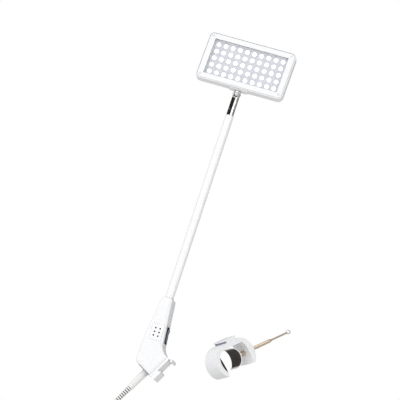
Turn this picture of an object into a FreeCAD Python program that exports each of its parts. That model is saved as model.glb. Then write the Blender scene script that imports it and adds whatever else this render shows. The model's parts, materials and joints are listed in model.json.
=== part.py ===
"""Clip-on LED display light: a rectangular LED head on a long straight arm, a bent base housing
that slides on a rail, a mains lead, and a loose tube clamp whose rail fits the base's channel.

Millimetres, +Z up. The origin is the middle of the rail channel's floor in the base.
The base's outline lies in XZ and its depth runs along Y; the LED head faces -Y.
"""
import FreeCAD
import Part
import math
import os

V = FreeCAD.Vector

# ---- driving dimensions -------------------------------------------------------------------
# Arm and its knuckle
ARM_LEAN = 18.3            # degrees from upright, towards +X
ARM_MOUTH = V(6.0, 0, 111.6)   # where the arm's axis leaves the top of the base
ARM_LENGTH = 320.0         # from the mouth to the tube's upper end
ARM_R = 7.0
ARM_WALL = 1.0
ARM_BURIED = 28.0          # tube length inside the base
KNUCKLE_REACH = 38.5       # from the tube's end to the tilt pin
KNUCKLE_R = 5.95
PIN_R = 1.5
RUNNING = 0.05             # radial clearance of every turning fit
HEAD_YAW = 3.8             # rest position of the head about the arm, degrees
HEAD_TILT = 8.2            # rest position, leaning back from the arm, degrees

# LED head, in its own frame: X along the long side, Z away from the arm, the face towards -Y
HEAD_W, HEAD_H, HEAD_CORNER = 151.0, 86.0, 9.0
HEAD_EDGE = 7.5            # from the tilt pin to the head's lower edge
HEAD_FRONT, HEAD_BACK = -11.0, 6.5
HEAD_WALL = 2.0
RIM = 1.4                  # housing rim that shows around the bezel
RIM_GAP = 0.5
WINDOW_W, WINDOW_H = 128.0, 65.0
LED_PITCH, LED_COLUMNS, LED_ROWS, LED_R = 12.5, 10, 5, 3.5
PANE_FACE, BOARD_FACE = -8.2, -4.4
BOARD_T, SPREADER_T = 1.6, 2.0

# Base housing
RAIL_TURN = 43.5           # degrees from +X of the channel's floor
BASE_HALF = 14.6           # half depth, before the raised face
FACE_LIFT = 0.5            # raised face on the front
PARTING = 3.0              # Y of the joint between the housing and its rear cover
SHELL = 2.0
RAIL_FACE = -3.7           # where the housing ends and the rail block begins
RAIL_LOW, RAIL_HIGH = -28.0, 16.0
SLOT_HALF, SLOT_DEEP = 13.0, 3.0
MOUTH_HALF, LIP_OUT = 10.5, 6.1
VENT_CENTRE = (-11.1, 54.1)
VENT_W, VENT_H = 19.9, 26.8
SWITCH_LONG, SWITCH_WIDE = 25.0, 11.0
ROCKER_PIVOT, ROCKER_REST = -4.0, 6.0   # pivot behind the wall's face; degrees that the rocker leans at rest

# Lead
CORD_R = 3.0
SLEEVE_LONG, RELIEF_LONG = 36.4, 34.0
CORD_AXIS = -16.5          # the lead's distance from the rail's floor, across the rail
COIL_MEAN, COIL_HALF = 33.0, 9.0
CORD_ROUTE = [(-82.7, -55.8), (-98.2, -70.4), (-107.5, -88.5), (-110.2, -109.0), (-109.0, -128.0)]
COIL_CENTRE = (-76.0, -148.0)
PLUG_TOP = (-109.0, -204.0)
PLUG_PIN_R, PIN_SPACING = 2.0, 19.0

# Loose tube clamp, in its own frame: X along the screw, Y along the tube, Z towards its rail
CLAMP_AT = V(97.8, 0, 3.7)
CLAMP_YAW, CLAMP_RISE = 48.0, 26.7
CLAMP_HALF = 15.0
CLAMP_TOP, CLAMP_CEILING = 27.5, 19.5
HOOK_R, SEAT_R = 27.0, 20.5
PAD_CENTRE, PAD_R, CUP_R, PAD_HALF = 11.0, 15.6, 17.0, 10.0
PAD_HORN, PAD_FACE = 16.0, 21.1   # along the screw: tips of the hollow face, and its middle
SCREW_R, SCREW_END = 3.0, 104.5
BUTTON_AT, BUTTON_T = 27.7, 1.8   # the screw's button, which turns inside the cup
BOSS_END = 32.0
BUSH_FROM, BUSH_TO, BUSH_R = 36.6, 50.0, 4.25
HANDLE_LONG = 42.0


# ---- frames -------------------------------------------------------------------------------
def turn(axis, degrees):
    return FreeCAD.Rotation(axis, degrees)


ARM_TURN = turn(V(0, 1, 0), ARM_LEAN)
ARM_DIR = ARM_TURN.multVec(V(0, 0, 1))
ARM = FreeCAD.Placement(ARM_MOUTH, ARM_TURN)
PIVOT = ARM_MOUTH + ARM_DIR * (ARM_LENGTH + KNUCKLE_REACH)
SWIVEL_TURN = ARM_TURN.multiply(turn(V(0, 0, 1), HEAD_YAW))
SWIVEL = FreeCAD.Placement(PIVOT, SWIVEL_TURN)
HEAD = FreeCAD.Placement(PIVOT, SWIVEL_TURN.multiply(turn(V(1, 0, 0), -HEAD_TILT)))
RAIL = FreeCAD.Placement(V(0, 0, 0), turn(V(0, 1, 0), -RAIL_TURN))
CLAMP = FreeCAD.Placement(CLAMP_AT, turn(V(0, 0, 1), CLAMP_YAW).multiply(turn(V(0, 1, 0), -CLAMP_RISE)))
HEAD_Z = HEAD_EDGE + HEAD_H / 2


def rail_xz(along, out):
    """XZ of a point given along the channel's floor and outwards from it."""
    c, s = math.cos(math.radians(RAIL_TURN)), math.sin(math.radians(RAIL_TURN))
    return along * c + out * s, along * s - out * c


# ---- shapes -------------------------------------------------------------------------------
def outline(corners, y):
    """Closed wire in a plane of constant Y; a corner is (x, z) or (x, z, radius)."""
    points = [V(c[0], y, c[1]) for c in corners]
    radii = [c[2] if len(c) > 2 else 0.0 for c in corners]
    starts, ends, arcs = [], [], []
    for i, point in enumerate(points):
        to_last = (points[i - 1] - point).normalize()
        to_next = (points[(i + 1) % len(points)] - point).normalize()
        half = to_last.getAngle(to_next) / 2
        reach = radii[i] / math.tan(half) if radii[i] else 0.0
        starts.append(point + to_last * reach)
        ends.append(point + to_next * reach)
        middle = point
        if radii[i]:
            bisector = (to_last + to_next).normalize()
            middle = point + bisector * (radii[i] / math.sin(half) - radii[i])
        arcs.append(middle)
    edges = []
    for i in range(len(points)):
        if radii[i]:
            edges.append(Part.Arc(starts[i], arcs[i], ends[i]).toShape())
        after = starts[(i + 1) % len(points)]
        if (after - ends[i]).Length > 1e-6:
            edges.append(Part.LineSegment(ends[i], after).toShape())
    return Part.Wire(edges)


def slab(wire, depth):
    """Solid between a wire and its copy moved along Y."""
    return Part.Face(wire).extrude(V(0, depth, 0))


def plate(corners, y0, y1):
    return slab(outline(corners, y0), y1 - y0)


def block(x0, x1, y0, y1, z0, z1):
    return Part.makeBox(x1 - x0, y1 - y0, z1 - z0, V(x0, y0, z0))


def panel(width, height, corner, y0, y1, z=0.0):
    """Upright rounded rectangle centred on X=0 and the given Z."""
    w, h = width / 2, height / 2
    return plate([(-w, z - h, corner), (w, z - h, corner), (w, z + h, corner), (-w, z + h, corner)], y0, y1)


def rod(start, direction, radius, length):
    return Part.makeCylinder(radius, length, start, direction)


def taper(start, direction, r0, r1, length):
    return Part.makeCone(r0, r1, length, start, direction)


def ring(start, direction, outer, inner, length):
    return rod(start, direction, outer, length).cut(rod(start, direction, inner, length))


def joined(shapes):
    whole = shapes[0]
    if len(shapes) > 1:
        whole = whole.fuse(list(shapes[1:]))
    return whole.removeSplitter()


def group(shapes):
    """Separate solids that share one node."""
    return Part.makeCompound(list(shapes))


def rounded(shape, radius, keep):
    """Shape with a fillet on every edge that keep() accepts."""
    return shape.makeFillet(radius, [edge for edge in shape.Edges if keep(edge)])


def in_plane_y(y):
    return lambda edge: all(abs(v.Y - y) < 1e-4 for v in edge.Vertexes) and abs(edge.CenterOfMass.y - y) < 1e-4


def save(node, shape, frame=None):
    placed = shape.transformed(frame.toMatrix()) if frame else shape
    placed.exportStep("parts/%s.step" % node)
    facts = (node, len(placed.Solids), placed.Volume, placed.isValid())
    print("%-24s %2d solid(s) %10.1f mm3  valid=%s" % facts)


X, Y, Z = V(1, 0, 0), V(0, 1, 0), V(0, 0, 1)


def screw(at, direction, radius, length, head_r, head_t):
    """Pan screw: the head sits on the point, the shank runs along the direction."""
    head = rod(at - direction * head_t, direction, head_r, head_t)
    slot = block(-head_r, head_r, -0.3, 0.3, -0.5, 0.5)
    slot.Placement = FreeCAD.Placement(at - direction * head_t, FreeCAD.Rotation(Z, direction))
    return joined([head, rod(at, direction, radius, length)]).cut(slot)


# ---- base housing -------------------------------------------------------------------------
def base_corners():
    """Outline of the housing in XZ, from the lead's end round by the left side to the rail."""
    low_x, low_z = rail_xz(RAIL_LOW, RAIL_FACE)
    far_x, far_z = rail_xz(RAIL_LOW, -38.2)
    high_x, high_z = rail_xz(13.0, RAIL_FACE)
    return [(low_x, low_z), (far_x, far_z, 8.0), (-33.8, 47.0, 120.0), (-2.1, 114.2, 5.0),
            (14.8, 108.6, 4.0), (-3.9, 22.3, 24.0), (high_x, high_z)]


def rail_block(y0, y1):
    """Strip with the undercut channel, in the rail's own frame (X along, Z inwards)."""
    profile = [(RAIL_LOW, -RAIL_FACE), (RAIL_LOW, -LIP_OUT, 1.0), (-MOUTH_HALF - 2.0, -LIP_OUT, 0.8),
               (-MOUTH_HALF, -LIP_OUT + 2.0), (-MOUTH_HALF, -SLOT_DEEP),
               (-SLOT_HALF, -SLOT_DEEP), (-SLOT_HALF, 0), (SLOT_HALF, 0), (SLOT_HALF, -SLOT_DEEP),
               (MOUTH_HALF, -SLOT_DEEP), (MOUTH_HALF, -LIP_OUT, 0.8),
               (RAIL_HIGH, -LIP_OUT, 3.0), (RAIL_HIGH, -RAIL_FACE, 1.5)]
    return plate(profile, y0, y1).transformed(RAIL.toMatrix())


def housing_blank(y0, y1):
    return slab(outline(base_corners(), y0), y1 - y0)


def housing_hollow(y0, y1):
    wire = outline(base_corners(), y0).makeOffset2D(-SHELL)
    return slab(wire, y1 - y0)


SCREW_POSTS = [(-37.0, 16.0), (-14.0, 76.0), (-8.0, 26.0)]
VENT_FRAME = FreeCAD.Placement(V(VENT_CENTRE[0], 0, VENT_CENTRE[1]), ARM_TURN)


def switch_frame():
    """Middle of the right-hand wall where the rocker sits: X points out of the wall, Z runs up it."""
    wall_lean = math.degrees(math.atan2(14.8 + 3.9, 108.6 - 22.3))
    foot = V(-3.9, 0, 22.3)
    up = turn(Y, wall_lean).multVec(Z)
    return FreeCAD.Placement(foot + up * 28.5, turn(Y, wall_lean))


SWITCH = switch_frame()


def arm_hole(radius, down):
    return rod(ARM_MOUTH - ARM_DIR * down, ARM_DIR, radius, down + 8)


def lead_axis(along):
    x, z = rail_xz(along, CORD_AXIS)
    return V(x, 0, z)


LEAD_DIR = V(*[-math.cos(math.radians(RAIL_TURN)), 0, -math.sin(math.radians(RAIL_TURN))])


def lead_hole(radius):
    return rod(lead_axis(RAIL_LOW + 6), LEAD_DIR, radius, 8)


def build_base():
    shell = rounded(housing_blank(-BASE_HALF, PARTING), 3.2, in_plane_y(-BASE_HALF))
    face = outline(base_corners(), -BASE_HALF - FACE_LIFT).makeOffset2D(-4.2)
    shell = shell.fuse(slab(face, FACE_LIFT + 0.5))
    shell = shell.cut(housing_hollow(-BASE_HALF + SHELL, PARTING))
    posts = [rod(V(x, -BASE_HALF + 1, z), Y, 3.2, BASE_HALF - 1 + PARTING) for x, z in SCREW_POSTS]
    shell = shell.fuse(posts + [rail_block(-BASE_HALF, PARTING)])
    pocket = panel(VENT_W + 0.4, VENT_H + 0.4, 0.8, -BASE_HALF - 1, -BASE_HALF + 1.1)
    behind = panel(VENT_W - 3, VENT_H - 3, 0.8, -BASE_HALF, -BASE_HALF + SHELL + 1)
    cutters = [s.transformed(VENT_FRAME.toMatrix()) for s in (pocket, behind)]
    cutters += [rod(V(x, -2, z), Y, 1.25, 8) for x, z in SCREW_POSTS]
    window = block(-4, 3, -SWITCH_WIDE / 2 - 0.2, PARTING + 1, -SWITCH_LONG / 2 - 0.2, SWITCH_LONG / 2 + 0.2)
    cutters += [arm_hole(ARM_R + RUNNING, 14), lead_hole(5.0), window.transformed(SWITCH.toMatrix())]
    save("base_housing", shell.cut(cutters).removeSplitter())

    cover = rounded(housing_blank(PARTING, BASE_HALF), 2.4, in_plane_y(BASE_HALF))
    cover = cover.cut(housing_hollow(PARTING, BASE_HALF - SHELL))
    sleeves = [rod(V(x, PARTING + 1, z), Y, 3.2, BASE_HALF - PARTING - 1.5) for x, z in SCREW_POSTS]
    cover = cover.fuse(sleeves + [rail_block(PARTING, BASE_HALF)])
    cutters = [rod(V(x, PARTING, z), Y, 1.7, 20) for x, z in SCREW_POSTS]
    cutters += [rod(V(x, BASE_HALF - 3.4, z), Y, 2.9, 5) for x, z in SCREW_POSTS]
    half_long = SWITCH_LONG / 2 + 0.2
    half_window = block(-4, 3, PARTING - 1, SWITCH_WIDE / 2 + 0.2, -half_long, half_long)
    cutters += [arm_hole(ARM_R + RUNNING, 14), lead_hole(5.0), half_window.transformed(SWITCH.toMatrix())]
    save("base_rear_cover", cover.cut(cutters).removeSplitter())
    save("base_screws", group([screw(V(x, BASE_HALF - 3.4, z), -Y, 1.2, 13.0, 2.6, 2.0)
                               for x, z in SCREW_POSTS]))


def build_vent():
    grille = panel(VENT_W, VENT_H, 0.7, -BASE_HALF - FACE_LIFT, -BASE_HALF + 1.0)
    holes = [rod(V(x * 7.7 / 2, -20, z * 6.25), Y, 1.45, 20) for x in (-1, 1) for z in (-1, 0, 1)]
    save("vent_grille", grille.cut(holes), VENT_FRAME)


def build_socket():
    """Collar on the front wall that grips the arm tube, with two grub screws."""
    low, high, outer = -ARM_BURIED - 2, -ARM_BURIED + 9, ARM_R + 1.6
    foot = block(-5, 5, -BASE_HALF + SHELL, 0, low, high).cut(rod(V(0, 0, low), Z, ARM_R + 0.5, high - low))
    collar = ring(V(0, 0, low), Z, outer, ARM_R + 0.02, high - low)
    stop = ring(V(0, 0, low - 1.5), Z, outer, 4.0, 1.5)
    bites = (low + 3, high - 3)
    holes = [rod(V(ARM_R - 1, 0, z), X, 1.5, 6) for z in bites]
    save("arm_socket", joined([collar, stop, foot]).cut(holes), ARM)
    save("socket_screws", group([rod(V(ARM_R + 0.05, 0, z), X, 1.45, 1.9) for z in bites]), ARM)


def build_electrics():
    board = FreeCAD.Placement(V(-20.5, 0, 45.0), turn(Y, 23.0))
    save("driver_board", block(-9, 9, 6.2, 7.8, -21, 21).cut(rod(V(0, 0, -18), Y, 1.6, 20)), board)
    parts = [block(-8, 1, -5, 6.2, -9, 5), rod(V(-3, 6.2, 11.5), -Y, 4.0, 12),
             rod(V(-5.5, 6.2, 18.5), -Y, 2.0, 8), block(-8, -3, 1, 6.2, -18, -12),
             block(1, 7, 2, 6.2, -19, -12)]
    save("driver_components", group(parts), board)
    save("terminal_block", joined([block(-7, 7, 7.8, 12.4, 14, 20), block(-6, 6, 7.8, 10, 13, 14)])
         .cut([rod(V(x, 9, 17), Y, 1.4, 4) for x in (-3.5, 3.5)]), board)


def build_switch():
    w, h = SWITCH_WIDE / 2, SWITCH_LONG / 2
    body = block(-12, 0.4, -w, w, -h, h).cut(block(-7, 1, -w + 1.2, w - 1.2, -h + 1.2, h - 1.2))
    flange = block(0.2, 1.0, -w - 1.2, w + 1.2, -h - 1.2, h + 1.2)
    flange = flange.cut(block(0, 2, -w + 1.2, w - 1.2, -h + 1.2, h - 1.2))
    pins = [rod(V(ROCKER_PIVOT, s * w, 0), V(0, -s, 0), 0.9, 3.2) for s in (-1, 1)]
    tabs = [block(-15, -12, -2.4, 2.4, z - 0.4, z + 0.4) for z in (-7, 7)]
    save("switch_housing", joined([body, flange] + tabs + pins), SWITCH)
    end = h - 2.3
    profile = [(-4.4, -end + 0.8), (0.6, -end), (2.2, -end, 0.6), (1.2, 0, 12.0), (2.2, end, 0.6),
               (0.6, end), (-4.4, end - 0.8), (-6.2, 0, 4.0)]
    rocker = plate(profile, -w + 1.5, w - 1.5).cut(rod(V(ROCKER_PIVOT, -w, 0), Y, 0.9 + RUNNING, SWITCH_WIDE))
    rocker.rotate(V(ROCKER_PIVOT, 0, 0), Y, ROCKER_REST)
    save("switch_rocker", rocker, SWITCH)


def ribbed_relief(start, direction):
    """Tapered rubber relief, ribbed along its length."""
    ribs, pitch = 8, 3.9
    core = taper(start, direction, 3.9, 3.4, RELIEF_LONG)
    rings = [taper(start + direction * (1.0 + i * pitch), direction, 4.75 - 0.12 * i, 4.65 - 0.12 * i, 2.3)
             for i in range(ribs)]
    return joined([core] + rings)


def build_lead():
    start = lead_axis(RAIL_LOW)
    sleeve = taper(start, LEAD_DIR, 6.2, 5.0, SLEEVE_LONG)
    inner = rod(start - LEAD_DIR * 4.5, LEAD_DIR, 4.95, 4.5)
    lock = rod(start - LEAD_DIR * 4.5, LEAD_DIR, 6.6, 2.2)
    bore = rod(start - LEAD_DIR * 5, LEAD_DIR, CORD_R, 60)
    sleeve = sleeve.fuse([inner, lock]).cut(bore)
    save("lead_sleeve", sleeve.removeSplitter())
    relief_start = start + LEAD_DIR * SLEEVE_LONG
    relief = ribbed_relief(relief_start, LEAD_DIR).cut(rod(relief_start, LEAD_DIR, CORD_R, 40))
    save("strain_relief", relief)
    anchor = block(-5, 5, -5.5, 5.5, -7, 7).cut(rod(V(0, 0, -8), Z, CORD_R, 16))
    frame = FreeCAD.Placement(lead_axis(RAIL_LOW + 14), FreeCAD.Rotation(Z, LEAD_DIR))
    save("cord_anchor", anchor, frame)
    inside = rod(lead_axis(RAIL_LOW + 22), LEAD_DIR, CORD_R, 22 + SLEEVE_LONG + RELIEF_LONG)
    return inside


def cord_tube(points, radius):
    """Straight runs joined by tangent arcs, each as large as its two runs allow."""
    runs = [points[i + 1] - points[i] for i in range(len(points) - 1)]
    edges, last, length = [], points[0], 0.0
    for i in range(1, len(points) - 1):
        before, after = runs[i - 1], runs[i]
        bend = before.getAngle(after)
        reach = 0.45 * min(before.Length, after.Length)
        arc_r = reach / math.tan(bend / 2)
        print("cord bend %d: %.1f degrees, radius %.1f mm" % (i, math.degrees(bend), arc_r))
        a = points[i] - before * (reach / before.Length)
        b = points[i] + after * (reach / after.Length)
        inward = (a + b) * 0.5 - points[i]
        mid = points[i] + inward.normalize() * (arc_r / math.cos(bend / 2) - arc_r)
        edges += [Part.LineSegment(last, a).toShape(), Part.Arc(a, mid, b).toShape()]
        last = b
    edges.append(Part.LineSegment(last, points[-1]).toShape())
    path = Part.Wire(edges)
    start = Part.Wire(Part.makeCircle(radius, points[0], runs[0]))
    tube = path.makePipeShell([start], True, False)
    share = tube.Volume / (math.pi * radius ** 2 * path.Length)
    print("cord tube %.1f mm long, volume over section times length %.4f" % (path.Length, share))
    return tube


def build_cord(inside):
    route = [V(x, 0, z) for x, z in CORD_ROUTE]
    save("supply_lead_inner", inside)
    save("supply_cord", cord_tube(route, CORD_R))
    centre = V(COIL_CENTRE[0], -COIL_HALF, COIL_CENTRE[1])
    coil = ring(centre, Y, COIL_MEAN + COIL_HALF, COIL_MEAN - COIL_HALF, 2 * COIL_HALF)
    save("cord_coil", rounded(coil, 5.0, lambda edge: True))


# ---- arm ----------------------------------------------------------------------------------
def build_arm():
    tube = ring(V(0, 0, -ARM_BURIED), Z, ARM_R, ARM_R - ARM_WALL, ARM_BURIED + ARM_LENGTH)
    save("arm_tube", tube, ARM)
    bush = ring(V(0, 0, ARM_LENGTH - 19), Z, ARM_R - ARM_WALL, 5.0, 18.6)
    save("arm_bush", bush, ARM)
    wire = rod(V(0, 0, -ARM_BURIED - 6), Z, 1.5, ARM_BURIED + 6 + ARM_LENGTH + KNUCKLE_REACH - 9)
    save("arm_wire", wire, ARM)


def build_knuckle():
    """Chrome fork that turns in the arm's end, with its black cover and tilt pin."""
    neck = -KNUCKLE_REACH + 0.2
    body = rod(V(0, 0, neck), Z, KNUCKLE_R, -neck + 7)
    top = rod(V(-8, 0, 0), X, 6.0, 16).fuse(block(-8, 8, -8, 8, neck - 1, 0))
    body = body.common(top)
    shank = rod(V(0, 0, neck - 21.5), Z, 5.0 - RUNNING, 22)
    slot = block(-3.15, 3.15, -8, 8, -6.2, 9)
    cover_room = cover_sector(0.05)
    ends = [rod(V(s * 5.0, 0, 0), V(s, 0, 0), 2.7, 3) for s in (-1, 1)]
    clip = ring(V(0, 0, neck - 20.6), Z, 5.2, 4.2, 0.8)
    bore = rod(V(0, 0, neck - 22), Z, 2.2, 60)
    pin_hole = rod(V(-8, 0, 0), X, PIN_R, 16)
    screw_hole = rod(V(0, 0, COVER_SCREW), cover_dir(), 0.9, 5.95)
    fork = body.fuse(shank).cut([slot, cover_room, bore, pin_hole, clip, screw_hole] + ends)
    save("knuckle_fork", fork.removeSplitter(), SWIVEL)
    cover = cover_sector(0.0).cut(rod(V(0, 0, COVER_SCREW), cover_dir(), 1.2, 8))
    save("knuckle_cover", cover, SWIVEL)
    dome = rod(V(0, 0, COVER_SCREW) + cover_dir() * 4.45, cover_dir(), 1.15, 1.65)
    shank = rod(V(0, 0, COVER_SCREW) + cover_dir() * 2.6, cover_dir(), 0.85, 2.2)
    save("cover_screw", dome.fuse(shank), SWIVEL)
    head = Part.makeSphere(3.4, V(3.6, 0, 0)).common(rod(V(5.0, 0, 0), X, 2.5, 4))
    save("tilt_pin", joined([rod(V(-6.4, 0, 0), X, PIN_R, 11.6), head]), SWIVEL)
    nut = Part.makeSphere(3.4, V(-3.6, 0, 0)).common(rod(V(-5.0, 0, 0), -X, 2.5, 4))
    save("tilt_nut", nut.cut(rod(V(-8, 0, 0), X, PIN_R, 8)), SWIVEL)
    save("friction_washers", group([ring(V(s * 2.6, 0, 0), V(s, 0, 0), 4.2, PIN_R + 0.1, 0.5)
                                    for s in (-1, 1)]), SWIVEL)
    save("retaining_ring", ring(V(0, 0, neck - 20.5), Z, 5.6, 4.25, 0.6), SWIVEL)


COVER_FROM, COVER_TO = 170.0, 278.0
COVER_SCREW = -28.0


def cover_dir():
    """Outward direction of the cover's screw, round the knuckle."""
    angle = math.radians(COVER_FROM + 77)
    return V(math.cos(angle), math.sin(angle), 0)


def cover_sector(gap):
    """Part-ring let into the knuckle's front left side."""
    low, high = -KNUCKLE_REACH + 0.7 - gap, -6.9 + gap
    sweep = COVER_TO - COVER_FROM + 2 * gap
    outer = Part.makeCylinder(KNUCKLE_R + gap, high - low, V(0, 0, low), Z, sweep)
    core = rod(V(0, 0, low - 1), Z, 4.4 - gap, high - low + 2)
    sector = outer.cut(core)
    sector.rotate(V(0, 0, 0), Z, COVER_FROM - gap)
    return sector


# ---- LED head -----------------------------------------------------------------------------
def build_head_shells():
    back = panel(HEAD_W, HEAD_H, HEAD_CORNER, HEAD_FRONT, HEAD_BACK, HEAD_Z)
    back = rounded(back, 4.0, in_plane_y(HEAD_BACK))
    back = back.cut(panel(HEAD_W - 2 * RIM, HEAD_H - 2 * RIM, HEAD_CORNER - RIM,
                          HEAD_FRONT - 1, HEAD_FRONT + 7.0, HEAD_Z))
    back = back.cut(panel(HEAD_W - 2 * HEAD_WALL, HEAD_H - 2 * HEAD_WALL, HEAD_CORNER - HEAD_WALL,
                          HEAD_FRONT, HEAD_BACK - HEAD_WALL, HEAD_Z))
    boss = plate([(-15, 6.3, 1.2), (15, 6.3, 1.2), (17, HEAD_EDGE + 1), (-17, HEAD_EDGE + 1)], -5.5, 5.0)
    boss = boss.cut(block(-20, 20, -8, 8, HEAD_EDGE + 0.5, 12))
    tongue_hole = block(-2.7, 2.7, -4.2, 4.2, 0, HEAD_EDGE + 3)
    slots = [panel(2.4, 34.0, 1.1, HEAD_BACK - 3, HEAD_BACK + 1, HEAD_Z).translated(V(x * 9.0, 0, 0))
             for x in range(-5, 6)]
    posts = [rod(V(x, -4.0, z), Y, 3.0, HEAD_BACK - 1.0 + 4.0) for x, z in corner_posts()]
    pilots = [rod(V(x, -6, z), Y, 1.1, 9) for x, z in corner_posts()]
    pilots += [rod(V(x, 1.9, HEAD_EDGE - 0.5), Z, 1.2, 4) for x in (-8.5, 8.5)]
    back = back.fuse(posts + [boss]).cut(slots + pilots + [tongue_hole])
    save("head_rear_housing", back.removeSplitter(), HEAD)

    room = RIM + RIM_GAP
    bezel = panel(HEAD_W - 2 * room, HEAD_H - 2 * room, HEAD_CORNER - room,
                  HEAD_FRONT, BOARD_FACE + 0.4, HEAD_Z)
    bezel = rounded(bezel, 0.8, in_plane_y(HEAD_FRONT))
    step = panel(HEAD_W - 11, HEAD_H - 11, 4.0, HEAD_FRONT, HEAD_FRONT + 0.4, HEAD_Z)
    bezel = bezel.fuse(step)
    opening = panel(WINDOW_W, WINDOW_H, 1.0, HEAD_FRONT - 1, 0, HEAD_Z)
    rebate = panel(WINDOW_W + 3.4, WINDOW_H + 3.4, 1.5, PANE_FACE, 0, HEAD_Z)
    board_room = panel(141.0, 77.0, 3.0, BOARD_FACE, 0, HEAD_Z)
    holes = [rod(V(x, -15, z), Y, 1.3, 20) for x, z in corner_posts()]
    sinks = [rod(V(x, HEAD_FRONT - 1, z), Y, 2.1, 2.6) for x, z in corner_posts()]
    bezel = bezel.cut([opening, rebate, board_room] + holes + sinks)
    save("head_front_bezel", bezel.removeSplitter(), HEAD)


def corner_posts():
    x, z = HEAD_W / 2 - 7.4, HEAD_H / 2 - 7.2
    return [(sx * x, HEAD_Z + sz * z) for sx in (-1, 1) for sz in (-1, 1)]


def build_head_inside():
    pane = panel(WINDOW_W + 3, WINDOW_H + 3, 1.3, PANE_FACE, PANE_FACE + 1.0, HEAD_Z)
    save("window_pane", pane, HEAD)
    frame_out, frame_in = (WINDOW_W + 3, WINDOW_H + 3), (WINDOW_W, WINDOW_H)
    seal_y = PANE_FACE + 1.0
    seal = panel(*frame_out, 1.3, seal_y, seal_y + 0.6, HEAD_Z).cut(panel(*frame_in, 1.0, -9, 0, HEAD_Z))
    save("pane_gasket", seal, HEAD)
    spacer = panel(*frame_out, 1.3, seal_y + 0.6, BOARD_FACE, HEAD_Z).cut(panel(*frame_in, 1.0, -9, 0, HEAD_Z))
    save("board_spacer", spacer, HEAD)
    notch = [rod(V(x, -6, z), Y, 3.3, 8) for x, z in corner_posts()]
    board = panel(140.0, 76.0, 2.0, BOARD_FACE, BOARD_FACE + BOARD_T, HEAD_Z).cut(notch)
    save("led_board", board, HEAD)
    metal = BOARD_FACE + BOARD_T
    spreader = panel(140.0, 76.0, 2.0, metal, metal + SPREADER_T, HEAD_Z).cut(notch)
    save("heat_spreader", spreader, HEAD)
    places = [(column, row) for column in range(LED_COLUMNS) for row in range(LED_ROWS)]
    save("led_array", group([led(column, row) for column, row in places]), HEAD)
    screws = [screw(V(x, HEAD_FRONT + 1.6, z), Y, 1.05, 10.5, 1.95, 1.0) for x, z in corner_posts()]
    save("bezel_screws", group(screws), HEAD)
    plug = metal + SPREADER_T
    connector = [block(-8, 8, plug, plug + 3.6, 14, 20), block(-6, 6, plug, plug + 2.4, 12, 14)]
    save("board_connector", joined(connector), HEAD)


def led(column, row):
    """One LED: a low drum with a domed lens."""
    x = (column - (LED_COLUMNS - 1) / 2) * LED_PITCH
    z = HEAD_Z + (row - (LED_ROWS - 1) / 2) * LED_PITCH
    drum = rod(V(x, BOARD_FACE, z), -Y, LED_R, 0.9)
    ball_r = 6.0
    dome = Part.makeSphere(ball_r, V(x, BOARD_FACE - 2.2 + ball_r, z))
    dome = dome.common(rod(V(x, BOARD_FACE - 0.9, z), -Y, LED_R, 3))
    return drum.fuse(dome).removeSplitter()


def build_tongue():
    """Flat tongue in the fork, with a foot screwed inside the head's lower wall."""
    eye = rod(V(-2.5, 0, 0), X, 4.4, 5.0)
    stem = block(-2.5, 2.5, -4.0, 4.0, 0, HEAD_EDGE + 2.2)
    foot = block(-12, 12, -0.6, 4.3, HEAD_EDGE + 2.1, HEAD_EDGE + 4.4)
    holes = [rod(V(x, 1.9, 5), Z, 1.25, 12) for x in (-8.5, 8.5)]
    holes.append(rod(V(-4, 0, 0), X, PIN_R + RUNNING, 8))
    save("knuckle_tongue", joined([eye, stem, foot]).cut(holes), HEAD)
    save("tongue_screws", group([screw(V(x, 1.9, HEAD_EDGE + 4.4), -Z, 1.15, 3.4, 2.1, 1.2)
                                 for x in (-8.5, 8.5)]), HEAD)


# ---- loose tube clamp -----------------------------------------------------------------------
def arc(*points):
    """Arc through three (x, z) points in the clamp's front plane."""
    return Part.Arc(*[V(x, -CLAMP_HALF, z) for x, z in points]).toShape()


def line(*ends):
    return Part.LineSegment(*[V(x, -CLAMP_HALF, z) for x, z in ends]).toShape()


def on_circle(centre, radius, degrees):
    angle = math.radians(degrees)
    return centre[0] + radius * math.cos(angle), centre[1] + radius * math.sin(angle)


HOOK_CENTRE = (-2.0, 0.5)
SEAT_CENTRE = (-2.0, -1.0)
HOOK_END = 241.0


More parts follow.
